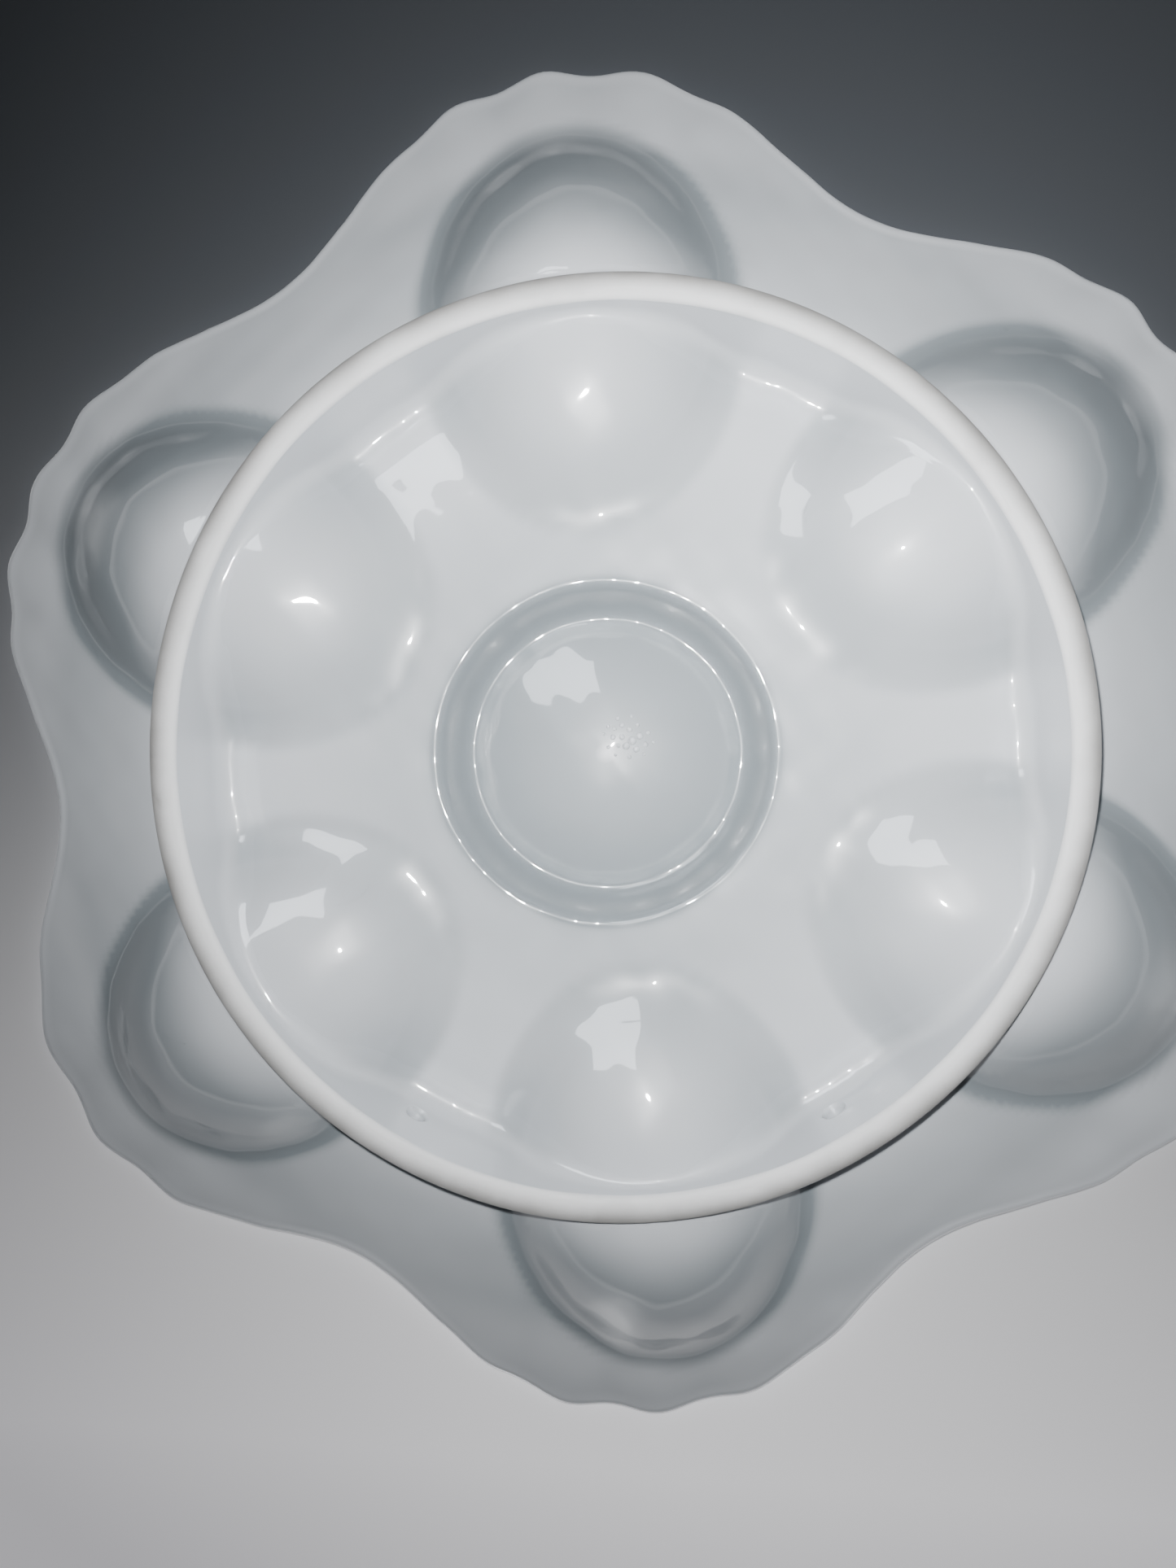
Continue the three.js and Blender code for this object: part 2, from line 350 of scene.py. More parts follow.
def greyness(x, y, top):
    """How grey the glaze is drawn, from 0 to 1: pooled glaze and painted shade. It is grey where the
    surface is hollow, which is where the height's curvature turns towards the outside (pooled glaze and
    painted shade in the creases), and painted shade darkens the middle, the cup, the flank outside the
    foot and the steep sides. The top side takes only a share of it."""
    middle = form_height(x, y, top)
    east, west = (form_height(x + step, y, top) for step in (GREY_STEP, -GREY_STEP))
    north, south = (form_height(x, y + step, top) for step in (GREY_STEP, -GREY_STEP))
    bend = (east + west + north + south - 4 * middle) / GREY_STEP**2
    slope = np.hypot(east - west, north - south) / (2 * GREY_STEP)
    in_hollow = np.clip((bend if top else -bend) / HOLLOW_BEND, 0, 1)
    radius = np.hypot(x, y)
    in_cup = smooth((CUP_OUTSIDE - np.hypot(x - CUP_SHIFT, y)) / CUP_FADE)
    in_middle = smooth((MIDDLE_REACH - radius) / MIDDLE_FADE)
    on_flank = smooth((radius - FLANK_FROM) / FLANK_START) * smooth((FLANK_TO - radius) / FLANK_END)
    flank = on_flank * (FLANK_GREY + FLANK_LOBE_GREY * lobe_share(np.arctan2(y, x)))
    steep = STEEP_GREY * smooth(slope / STEEP_SLOPE)
    whole = in_hollow + CUP_GREY * in_cup + MIDDLE_GREY * in_middle + flank + steep
    return np.clip(whole, 0, 1) * (TOP_GREY if top else 1)


# ---------------------------------------------------------------- meshes


def new_piece(name, points, quads, triangles, material, attributes):
    """A mesh object at the origin from arrays of points, four-cornered faces and three-cornered faces."""
    mesh = bpy.data.meshes.new(name)
    mesh.vertices.add(len(points))
    mesh.vertices.foreach_set("co", np.asarray(points, np.float32).ravel())
    corners = np.concatenate([quads.ravel(), triangles.ravel()]).astype(np.int32)
    sides = np.concatenate([np.full(len(quads), 4), np.full(len(triangles), 3)])
    mesh.loops.add(len(corners))
    mesh.loops.foreach_set("vertex_index", corners)
    mesh.polygons.add(len(sides))
    mesh.polygons.foreach_set("loop_start", (np.cumsum(sides) - sides).astype(np.int32))
    mesh.update(calc_edges=True)
    mesh.shade_smooth()
    for key, values in attributes.items():
        layer = mesh.attributes.new(key, "FLOAT", "POINT")
        layer.data.foreach_set("value", np.asarray(values, np.float32).ravel())
    if material:
        mesh.materials.append(material)
    made = bpy.data.objects.new(name, mesh)
    bpy.context.scene.collection.objects.link(made)
    return made


def grid_quads(rows, columns, closed_rows=False):
    """Four-cornered faces of a grid that closes on itself from the last column to the first, and from
    the last row to the first if `closed_rows`. Seen with the rows going outwards, the faces point down."""
    index = np.arange(rows * columns).reshape(rows, columns)
    if closed_rows:
        index = np.vstack([index, index[:1]])
    beside = np.roll(index, -1, axis=1)
    return np.stack([index[:-1], beside[:-1], beside[1:], index[1:]], axis=-1).reshape(-1, 4)


# Rows of points on either side of the shell: stretches from one radius to another, in millimetres, with
# their number of rows. They lie closer together over the cup's side.
UNDER_ROWS = ((2, 20, 8), (21, 33, 25), (34.5, 96, 30), (98, 122.5, 17))
OVER_ROWS = ((122, 97, 13), (95, 37, 22), (35.5, 22, 17), (20, 2, 7))
RIM_ROWS = 9
ROWS_CENTRED = 74 * MM  # rows follow the cup's middle, and less and less so out to this radius
POLE_GREYNESS = (0, 0.3)  # of the middle of the underside and of the top side


def turns():
    """The angle of each column round the plate."""
    return np.arange(COLUMNS) * 2 * math.pi / COLUMNS


def shell_point(row, angle, top):
    """Where the point of a row lies, and its height. Rows are circles near the middle, where they follow
    the cup, and take on the rim's outline by the square of their share of the way to it."""
    inward = 1 - (1 - rim_radius(angle) / TIP_RADIUS) * (row / TIP_RADIUS) ** 2
    shift = CUP_SHIFT * (1 - smooth(row / ROWS_CENTRED))
    x = row * inward * np.cos(angle) + shift
    y = row * inward * np.sin(angle)
    return x, y, shell_height(x, y, top)


def shell_piece():
    """The whole shell as one closed skin. Its rows run from the middle of the underside out to the rim,
    over the rim in a half circle, and back to the middle of the top side."""
    size = sizes()
    lip = size.rim_wall / 2
    edge_row = TIP_RADIUS - lip
    angle = turns()
    sides = []
    for stretches, top in ((UNDER_ROWS, 0), (OVER_ROWS, 1)):
        radii = np.concatenate([np.linspace(*stretch) for stretch in stretches])
        row = np.minimum(radii * MM, edge_row)[:, None]
        x, y, z = shell_point(row, angle[None, :], top)
        sides.append((np.stack([x, y, z], axis=-1), greyness(x, y, top)))
    low_x, low_y, low_z = shell_point(edge_row, angle, 0)
    high_z = shell_height(low_x, low_y, 1)
    turn = np.radians(np.linspace(-90, 90, RIM_ROWS))[:, None]
    out = lip * np.cos(turn)
    rim = np.stack(
        [
            low_x + out * np.cos(angle),
            low_y + out * np.sin(angle),
            (low_z + high_z) / 2 + (high_z - low_z) / 2 * np.sin(turn),
        ],
        axis=-1,
    )
    rows = np.concatenate([sides[0][0], rim, sides[1][0]])
    pool_and_shade = np.concatenate([sides[0][1], np.zeros(rim.shape[:2]), sides[1][1]])
    middle = np.array([CUP_SHIFT]), np.zeros(1)
    poles = [[CUP_SHIFT, 0, shell_height(*middle, top)[0]] for top in (0, 1)]
    points = np.vstack([rows.reshape(-1, 3), poles])
    ring = np.arange(COLUMNS)
    beside = np.roll(ring, -1)
    low_pole, high_pole = len(points) - 2, len(points) - 1
    last = (len(rows) - 1) * COLUMNS
    triangles = np.concatenate(
        [
            np.stack([np.full(COLUMNS, low_pole), beside, ring], axis=-1),
            np.stack([np.full(COLUMNS, high_pole), ring + last, beside + last], axis=-1),
        ]
    )
    pool_and_shade = np.append(pool_and_shade.ravel(), POLE_GREYNESS)
    quads = grid_quads(len(rows), COLUMNS)
    return new_piece("glazed_shell", points, quads, triangles, glazed_porcelain(), {"pool_and_shade": pool_and_shade})


# ---------------------------------------------------------------- foot ring

# What differs between its inner side, -1, and its outer side, 1
DRAFT = {-1: 0.144, 1: 0.066}  # how far the wall leans away from its middle for each unit of height
CROWN_POWER = {-1: 0.8, 1: 0.9}  # how blunt the standing edge's corner is
CROWN_ROLL = {-1: 1, 1: 1.7}  # height of its rounding, as a share of the set one
GLAZE_LINE = {-1: 0.8, 1: 1.25}  # height of the glaze's end, as a share of the set rounding

CROWN_SHIFT = 0.9 * MM  # the lowest line of the standing edge lies this far inside its middle
CROWN_ROWS = 10
WALL_ROWS = 14
FILLET_ROWS = 12
FILLET_SHARE = 0.55  # the most of the wall's height that its fillet may take
FILLET_WAVES = (23, 34, 47, 59)  # waves round the ring by which the fillet is uneven
FILLET_UNEVEN = 0.03
FLANGE_OUT = (0.5, 1.2, 2.0)  # millimetres beyond the fillet, and into the shell
FLANGE_IN = (0.01, 0.05, 0.25)
ROOT_IN = 1 * MM  # the root's corners lie this far inside the flanges' edges
ROOT_DEPTH = 1.6 * MM  # and this deep in the shell
SLOPE_STEP = 0.2 * MM
GLAZE_EDGE = 0.3 * MM  # height over which the glaze thins out
PIT_ANGLE = math.radians(178.5)  # a small pit in the standing edge
PIT_OUT = 0.9 * MM  # how far outside the middle of the standing edge it lies
PIT_RADIUS = 0.8 * MM
PIT_DEPTH = 0.7 * MM
PIT_TOP = 1.5 * MM  # nothing above this height takes part in it
POOL_AND_SHADE_START = 3.5 * MM  # the ring's glaze takes the shell's pooled glaze and painted shade from this far off the wall

HOLE_ANGLES = np.radians([63.7, 123.7])
HOLE_HEIGHT = 10 * MM
HOLE_REACH = 9 * MM  # the plug that cuts a hole reaches this far either side of the wall
HOLE_SIDES = 32
HOLE_ROWS = 33
HOLE_FLARE = 0.8 * MM  # how much wider the hole's mouth is, and how deep the flare goes
HOLE_FLARE_DEPTH = 1.2 * MM


def foot_wobble(angle):
    """The ring is a little out of round, as if pressed at three places before firing."""
    return (0.16 * np.sin(3 * angle + 1.0) + 0.08 * np.sin(5 * angle)) * MM


def wall_radius(height, angle, side):
    """Radius of the foot's wall at a height: side -1 is the inner wall and 1 the outer one."""
    size = sizes()
    away = size.foot_width / 2 + DRAFT[side] * (height - crown_round(side))
    return FOOT_RADIUS + side * away + foot_wobble(angle)


def radial_height(radius, angle):
    """Height of the shell's underside at a radius and angle."""
    return shell_height(radius * np.cos(angle), radius * np.sin(angle), 0)


def fillet_rows(angle, side):
    """The hollow where a wall runs into the shell: a quadratic curve from the wall to the shell, tangent
    to both. Its middle point is where the wall's line meets the shell's tangent, and its size wavers a
    little."""
    size = sizes()
    meet = wall_radius(radial_height(np.full_like(angle, FOOT_RADIUS), angle), angle, side)
    reach = np.minimum(size.foot_fillet, FILLET_SHARE * (radial_height(meet, angle) - size.foot_round))
    reach = reach * (1 + FILLET_UNEVEN * sum(np.sin(n * angle + n * side) for n in FILLET_WAVES))
    end_r = meet + side * reach
    end_z = radial_height(end_r, angle)
    before, after = (radial_height(end_r + step, angle) for step in (-SLOPE_STEP, SLOPE_STEP))
    slope = (after - before) / (2 * SLOPE_STEP)
    lean = side * DRAFT[side]
    base = wall_radius(0, angle, side)
    corner_r = (base + lean * (end_z - slope * end_r)) / (1 - lean * slope)
    corner_z = end_z + slope * (corner_r - end_r)
    start_z = corner_z - reach
    start_r = wall_radius(start_z, angle, side)
    t = np.linspace(0, 1, FILLET_ROWS)[:, None]
    r = (1 - t) ** 2 * start_r + 2 * t * (1 - t) * corner_r + t * t * end_r
    z = (1 - t) ** 2 * start_z + 2 * t * (1 - t) * corner_z + t * t * end_z
    return r, z


def flange_rows(end_r, angle, side):
    """The thin edge beyond the hollow, which sinks slowly into the shell so that no seam shows."""
    r = end_r + side * np.array(FLANGE_OUT)[:, None] * MM
    return r, radial_height(r, angle) + np.array(FLANGE_IN)[:, None] * MM


def crown_rows(side):
    """Half of the standing edge's section as shares: across from its lowest line, and up. It is a
    superellipse, blunt on the inner side and a long roll on the outer one, where the sponge wore the
    corner down."""
    turn = np.linspace(0, math.pi / 2, CROWN_ROWS)
    return np.sin(turn) ** CROWN_POWER[side], 1 - np.cos(turn) ** CROWN_POWER[side]


def crown_round(side):
    """Height of the rounding of the standing edge: higher on the outer side."""
    return sizes().foot_round * CROWN_ROLL[side]


def ring_section(angle):
    """Radius and height of each row of the ring's section, from the inner flange down the inner wall,
    round the standing edge, up the outer wall to the outer flange, and back inside the shell."""
    size = sizes()
    parts = {}
    for side in (-1, 1):
        hollow_r, hollow_z = fillet_rows(angle, side)
        edge_r, edge_z = flange_rows(hollow_r[-1], angle, side)
        share = np.linspace(0, 1, WALL_ROWS + 1)[1:-1, None]
        wall_z = crown_round(side) + (hollow_z[0] - crown_round(side)) * share
        wall_r = wall_radius(wall_z, angle, side)
        across, up = crown_rows(side)
        half = size.foot_width / 2 + side * CROWN_SHIFT
        crown_r = FOOT_RADIUS - CROWN_SHIFT + foot_wobble(angle) + side * half * across[:, None]
        crown_z = np.broadcast_to(crown_round(side) * up[:, None], crown_r.shape)
        parts[side] = [(crown_r, crown_z), (wall_r, wall_z), (hollow_r, hollow_z), (edge_r, edge_z)]
    inner = [(r[::-1], z[::-1]) for r, z in reversed(parts[-1])]
    outer = parts[1]
    outer[0] = tuple(part[1:] for part in outer[0])
    ends = outer[-1][0][-1] - ROOT_IN, inner[0][0][0] + ROOT_IN
    root_r = np.stack([ends[0], np.full_like(angle, FOOT_RADIUS), ends[1]])
    rows = inner + outer + [(root_r, radial_height(root_r, angle) + ROOT_DEPTH)]
    return np.concatenate([r for r, _ in rows]), np.concatenate([z for _, z in rows])


def bareness(radius, height, angle):
    """1 on the unglazed standing edge and 0 on the glaze above it, with the glaze line wandering a
    little. It ends lower on the inner side than on the outer one."""
    line = np.where(radius < FOOT_RADIUS, GLAZE_LINE[-1], GLAZE_LINE[1]) * sizes().foot_round
    line = line * (1 + 0.10 * np.sin(9 * angle) + 0.08 * np.sin(23 * angle + 1))
    return smooth((line - height) / GLAZE_EDGE + 0.5)


def outer_greying(radius, angle):
    """0 on the inner part of the standing edge and 1 at its outer corner, where the bare band is drawn
    greyer."""
    across = (radius - FOOT_RADIUS - foot_wobble(angle)) / (sizes().foot_width / 2)
    return smooth((across + 0.7) / 1.5)


def half_width(height, side):
    """How far the foot's wall lies from its middle at a height, on one side."""
    return sizes().foot_width / 2 + DRAFT[side] * height


def hole_cutter(angle):
    """A plug for one hanging hole: a round bar across the wall, with a flare where it comes out on
    either side, which leaves the hole a rounded lip."""
    along = np.linspace(-HOLE_REACH, HOLE_REACH, HOLE_ROWS)
    wall = half_width(HOLE_HEIGHT, -1)
    flare = HOLE_FLARE * smooth((np.abs(along) - wall) / HOLE_FLARE_DEPTH + 1) ** 2
    turn = np.arange(HOLE_SIDES) * 2 * math.pi / HOLE_SIDES
    radius = (sizes().hang_hole + flare)[:, None]
    across, up = radius * np.cos(turn), radius * np.sin(turn) + HOLE_HEIGHT
    out = np.broadcast_to(FOOT_RADIUS + along[:, None], across.shape)
    x = out * math.cos(angle) - across * math.sin(angle)
    y = out * math.sin(angle) + across * math.cos(angle)
    ends = [[r * math.cos(angle), r * math.sin(angle), HOLE_HEIGHT] for r in FOOT_RADIUS + along[[0, -1]]]
    points = np.vstack([np.stack([x, y, up], axis=-1).reshape(-1, 3), ends])
    ring = np.arange(HOLE_SIDES)
    last = (len(along) - 1) * HOLE_SIDES
    caps = [(np.full(HOLE_SIDES, len(points) - 2), np.roll(ring, -1), ring)]
    caps += [(np.full(HOLE_SIDES, len(points) - 1), ring + last, np.roll(ring, -1) + last)]
    triangles = np.concatenate([np.stack(cap, axis=-1) for cap in caps])
    return new_piece("hole_plug", points, grid_quads(len(along), HOLE_SIDES), triangles, None, {})


def cut(piece, plug):
    """Cuts a plug out of a piece, and removes the plug."""
    modifier = piece.modifiers.new("hole", "BOOLEAN")
    modifier.operation, modifier.solver, modifier.object = "DIFFERENCE", "EXACT", plug
    bpy.context.view_layer.update()
    cut_mesh = bpy.data.meshes.new_from_object(piece.evaluated_get(bpy.context.evaluated_depsgraph_get()))
    old, name = piece.data, piece.data.name
    piece.modifiers.clear()
    piece.data = cut_mesh
    bpy.data.meshes.remove(old)
    cut_mesh.name = name
    bpy.data.objects.remove(plug)


def ring_piece():
    """The foot ring: the section carried round the plate as a closed ring of points, with a small pit in
    its standing edge and two holes cut through it."""
    angle = turns()
    r, z = ring_section(angle)
    from_pit = np.hypot((angle - PIT_ANGLE) * FOOT_RADIUS, r - FOOT_RADIUS - PIT_OUT)
    z = z + PIT_DEPTH * smooth(1 - from_pit / PIT_RADIUS) * (z < PIT_TOP)
    points = np.stack([r * np.cos(angle), r * np.sin(angle), z], axis=-1).reshape(-1, 3)
    bare = bareness(r, z, angle)
    quads = grid_quads(len(r), COLUMNS, closed_rows=True)
    from_wall = np.abs(r - FOOT_RADIUS) - half_width(z, 1)
    pool_and_shade = greyness(r * np.cos(angle), r * np.sin(angle), 0) * smooth(from_wall / POOL_AND_SHADE_START)
    layers = {"bare": bare, "outer_grey": outer_greying(r, angle), "pool_and_shade": pool_and_shade}
    made = new_piece("luted_foot_ring", points, quads, np.empty((0, 3), int), foot_porcelain(), layers)
    for place in HOLE_ANGLES:
        cut(made, hole_cutter(place))
    return made


# ---------------------------------------------------------------- bubbles in the cup's glaze

# Places of the bubbles from the middle of the cluster, and their radii, in millimetres
BUBBLES = (
    (0.0, 0.0, 0.8), (1.4, -0.7, 0.65), (-1.2, 0.9, 0.7), (0.6, 1.6, 0.6), (-1.8, -0.8, 0.55),
    (-0.3, -2.0, 0.5), (2.3, 0.9, 0.5), (-2.6, 0.7, 0.45), (-3.4, -0.9, 0.5), (-3.0, -2.4, 0.4),
    (-1.6, -2.9, 0.45), (1.2, -2.7, 0.35), (3.0, -1.2, 0.4), (1.9, 2.6, 0.35), (-0.8, 2.9, 0.4),
    (-4.4, 0.8, 0.35), (-4.1, -2.9, 0.35), (-2.3, -4.2, 0.4), (0.2, -4.4, 0.3), (3.8, 0.6, 0.3),
    (-4.9, -1.6, 0.3), (-3.2, 2.3, 0.3),
)
CLUSTER = np.array([3.0, -1.8]) * MM  # middle of the cluster
BUBBLE_SIDES = 12
BUBBLE_TILTS = np.radians([20, 45, 70, 95])
BUBBLE_RISE = 0.6  # how far a bubble stands out, and how deep its back lies, as shares of its radius
BUBBLE_DEPTH = 0.2
BUBBLE_GREYNESS = 0.2


def bubbles_piece():
    """Small bubbles under the skin of the glaze: each is the cap of a ball, flattened, on the underside
    of the cup, with its ring of points sunk into the glaze. The cap is a grid of turn and tilt."""
    spots = np.array(BUBBLES) * MM
    sides, tilts = BUBBLE_SIDES, BUBBLE_TILTS
    turn = np.arange(sides) * 2 * math.pi / sides
    x0, y0, size = CLUSTER[0] + spots[:, 0], CLUSTER[1] + spots[:, 1], spots[:, 2]
    base = shell_height(x0, y0, 0)
    out = size[:, None, None] * np.sin(tilts)[None, :, None]
    x = x0[:, None, None] + out * np.cos(turn)
    y = y0[:, None, None] + out * np.sin(turn)
    rise = BUBBLE_RISE * size[:, None, None] * np.cos(tilts)[None, :, None]
    z = np.broadcast_to(base[:, None, None] - rise, x.shape)
    grids = np.stack([x, y, z], axis=-1).reshape(-1, 3)
    low = np.stack([x0, y0, base - BUBBLE_RISE * size], axis=-1)
    high = np.stack([x0, y0, base + BUBBLE_DEPTH * size], axis=-1)
    points = np.vstack([grids, low, high])
    each = sides * len(tilts)
    starts = np.arange(len(spots)) * each
    quads = (grid_quads(len(tilts), sides)[None] + starts[:, None, None]).reshape(-1, 4)
    ring = np.arange(sides)
    beside = np.roll(ring, -1)
    low_pole = np.broadcast_to(len(grids) + np.arange(len(spots))[:, None], (len(spots), sides))
    high_pole = low_pole + len(spots)
    first = starts[:, None] + ring, starts[:, None] + beside
    last = (len(tilts) - 1) * sides
    triangles = np.concatenate(
        [
            np.stack([low_pole, first[1], first[0]], axis=-1).reshape(-1, 3),
            np.stack([high_pole, first[0] + last, first[1] + last], axis=-1).reshape(-1, 3),
        ]
    )
    pool_and_shade = np.full(len(points), BUBBLE_GREYNESS)
    return new_piece("glaze_bubbles", points, quads, triangles, glazed_porcelain(), {"pool_and_shade": pool_and_shade})


# ---------------------------------------------------------------- materials


def node(tree, kind, inputs=None, **settings):
    """Adds one node. `settings` are its own options, and `inputs` are sockets' values or the outputs to
    link."""
    made = tree.nodes.new(kind)
    for key, value in settings.items():
        setattr(made, key, value)
    for key, value in (inputs or {}).items():
        if isinstance(value, bpy.types.NodeSocket):
            tree.links.new(value, made.inputs[key])
        else:
            made.inputs[key].default_value = value
    return made


def new_material(name):
    """An empty node material."""
    made = bpy.data.materials.new(name)
    made.use_nodes = True
    made.node_tree.nodes.clear()
    return made


# A fired glaze: a glossy coat of glass over the body
BODY_ROUGHNESS = 0.32
BODY_SPECULAR = 0.25
COAT_ROUGHNESS = 0.035
GLASS_IOR = 1.5
GLAZE_CLOUDS = 16.7 * MM  # size of the broad clouds in the glaze
GLAZE_CLOUDS_SHARE = 0.08  # how much they add to its greyness
PEEL = 3.85 * MM  # size of the glaze's orange peel
PEEL_DEPTH = 0.012 * MM
BARE_ROUGHNESS = 0.75
WEAR_PATCHES = 11.1 * MM  # size of the patches of wear on the bare edge
WEAR_PATCHES_SHARE = 0.8
WEAR_FROM, WEAR_TO = 0.45, 1.5  # wear patches and the greying towards the outer corner together, from none to full grey
GRAIN = 0.556 * MM  # the bare clay's own grain is finer, and is drawn this coarse so that it shows
GRAIN_DEPTH = 0.03 * MM


def glazed_porcelain():
    """White porcelain slip-cast and dipped in a clear feldspar glaze, fired glossy. The eye sees a
    bright, cool body under a sharp coat, greyer and greener where the glaze lies thick and where shade is
    painted into its colour, with a very faint orange peel."""
    made = new_material("glazed_porcelain")
    tree = made.node_tree
    place = node(tree, "ShaderNodeTexCoord").outputs["Object"]
    pool_and_shade = node(tree, "ShaderNodeAttribute", attribute_name="pool_and_shade").outputs["Fac"]
    clouds = {"Vector": place, "Scale": 1 / GLAZE_CLOUDS, "Detail": 3.0}
    cloud = node(tree, "ShaderNodeTexNoise", clouds).outputs["Fac"]
    # the glaze's tint: random clouds plus the attribute's pooled glaze and painted shade
    thickness = {0: cloud, 1: GLAZE_CLOUDS_SHARE, 2: pool_and_shade}
    thick = node(tree, "ShaderNodeMath", thickness, operation="MULTIPLY_ADD").outputs[0]
    tints = {0: thick, 6: list(looks().glaze), 7: list(looks().pooled_and_shaded)}
    body = node(tree, "ShaderNodeMix", tints, data_type="RGBA").outputs[2]
    dimples = {"Vector": place, "Scale": 1 / PEEL, "Detail": 1.0}
    peel = node(tree, "ShaderNodeTexNoise", dimples).outputs["Fac"]
    bumps = {"Height": peel, "Strength": 1.0, "Distance": PEEL_DEPTH}
    relief = node(tree, "ShaderNodeBump", bumps).outputs[0]
    shader = node(
        tree,
        "ShaderNodeBsdfPrincipled",
        {
            "Base Color": body,
            "Roughness": BODY_ROUGHNESS,
            "IOR": GLASS_IOR,
            "Specular IOR Level": BODY_SPECULAR,
            "Coat Weight": 1.0,
            "Coat Roughness": COAT_ROUGHNESS,
            "Coat IOR": GLASS_IOR,
            "Coat Normal": relief,
            "Normal": relief,
        },
    ).outputs[0]
    node(tree, "ShaderNodeOutputMaterial", {"Surface": shader})
    return made


def foot_porcelain():
    """The foot's porcelain, wiped clean of glaze on its standing edge before firing. The bare band is
    matt, very finely granular, grey in patches of wear and greyer towards its outer corner, and the rest
    has the plate's glossy glaze with the shell's pooled glaze and painted shade."""
    made = new_material("bare_porcelain")
    tree = made.node_tree
    place = node(tree, "ShaderNodeTexCoord").outputs["Object"]
    bare = node(tree, "ShaderNodeAttribute", attribute_name="bare").outputs["Fac"]
    patches = {"Vector": place, "Scale": 1 / WEAR_PATCHES, "Detail": 4.0}
    patch = node(tree, "ShaderNodeTexNoise", patches).outputs["Fac"]
    outer_grey = node(tree, "ShaderNodeAttribute", attribute_name="outer_grey").outputs["Fac"]
    wear = {0: patch, 1: WEAR_PATCHES_SHARE, 2: outer_grey}
    patches_and_outer_grey = node(tree, "ShaderNodeMath", wear, operation="MULTIPLY_ADD").outputs[0]
    limits = {"Value": patches_and_outer_grey, "From Min": WEAR_FROM, "From Max": WEAR_TO}
    wear_and_outer_grey = node(tree, "ShaderNodeMapRange", limits).outputs[0]
    greys = {0: wear_and_outer_grey, 6: list(looks().bare), 7: list(looks().smudge)}
    dry = node(tree, "ShaderNodeMix", greys, data_type="RGBA").outputs[2]
    # the glazed part takes the shell's pooled glaze and painted shade
    pool_and_shade = node(tree, "ShaderNodeAttribute", attribute_name="pool_and_shade").outputs["Fac"]
    tints = {0: pool_and_shade, 6: list(looks().glaze), 7: list(looks().pooled_and_shaded)}
    glazed = node(tree, "ShaderNodeMix", tints, data_type="RGBA").outputs[2]
    body = node(tree, "ShaderNodeMix", {0: bare, 6: glazed, 7: dry}, data_type="RGBA").outputs[2]
    gloss = node(tree, "ShaderNodeMapRange", {"Value": bare, "To Min": 1.0, "To Max": 0.0}).outputs[0]
    roughnesses = {"Value": bare, "To Min": BODY_ROUGHNESS, "To Max": BARE_ROUGHNESS}
    matt = node(tree, "ShaderNodeMapRange", roughnesses).outputs[0]
    grains = {"Vector": place, "Scale": 1 / GRAIN, "Detail": 2.0}
    grain = node(tree, "ShaderNodeTexNoise", grains).outputs["Fac"]
    bumps = {"Height": grain, "Strength": bare, "Distance": GRAIN_DEPTH}
    relief = node(tree, "ShaderNodeBump", bumps).outputs[0]
    shader = node(
        tree,
        "ShaderNodeBsdfPrincipled",
        {
            "Base Color": body,
            "Roughness": matt,
            "IOR": GLASS_IOR,
            "Specular IOR Level": BODY_SPECULAR,
            "Coat Weight": gloss,
            "Coat Roughness": COAT_ROUGHNESS,
            "Coat IOR": GLASS_IOR,
            "Normal": relief,
        },
    ).outputs[0]
    node(tree, "ShaderNodeOutputMaterial", {"Surface": shader})
    return made


def one_sided(name, shine):
    """A matt paper that is seen only from the side its faces point to. `shine` adds its shader to the
    tree."""
    made = new_material(name)
    tree = made.node_tree
    clear = node(tree, "ShaderNodeBsdfTransparent").outputs[0]
    behind = node(tree, "ShaderNodeNewGeometry").outputs["Backfacing"]
    both = node(tree, "ShaderNodeMixShader", {0: behind, 1: shine(tree), 2: clear}).outputs[0]
    node(tree, "ShaderNodeOutputMaterial", {"Surface": both})
    return made


# ---------------------------------------------------------------- stage

VIEW_TURN = math.radians(5)  # the camera's upright is turned this much from the plate's axes
RIGHT = np.array([math.cos(VIEW_TURN), math.sin(VIEW_TURN), 0])
DOWN = np.array([-math.sin(VIEW_TURN), math.cos(VIEW_TURN), 0])
UP_AXIS = np.array([0, 0, 1])
EYE = np.array([6.4, 2.5, -185.5]) * MM
CENTRE = np.array([0, 0, 15]) * MM  # where the lamps aim
TABLE_REACH = 20  # metres, as far as the horizon
TABLE_GLOW = 0.14
BACKDROP_REACH = 0.6
BACKDROP_GAP = 0.6 * MM  # between the rim's tips and the backdrop
BACKDROP_SLANT = -0.14  # how far the fall of light across the backdrop leans from Y towards X
BACKDROP_DARK, BACKDROP_PALE = -0.15, 0.14  # metres along that line where it is darkest and palest
BACKDROP_POWER = 3.4
BACKDROP_GLOW = 0.42
ROOM_BELOW = [0.02, 0.021, 0.023, 1]  # the world's light from below and from above
ROOM_ABOVE = [0.8, 0.81, 0.83, 1]
HORIZON_FADE = 0.06
STRIP_ANGLES = np.radians([20, 110, 200, 290])
STRIP_RADIUS = 0.8
STRIP_HEIGHT = 0.42


def unit(vector):
    """The vector at length 1."""
    return vector / np.linalg.norm(vector)


def facing(position, right, away):
    """The 4 by 4 placing of a camera or light that stands at position and looks along -away."""
    across = unit(right - right.dot(away) * away)
    placed = np.eye(4)
    placed[:3] = np.column_stack([across, np.cross(away, across), away, position])
    return placed.T.ravel()


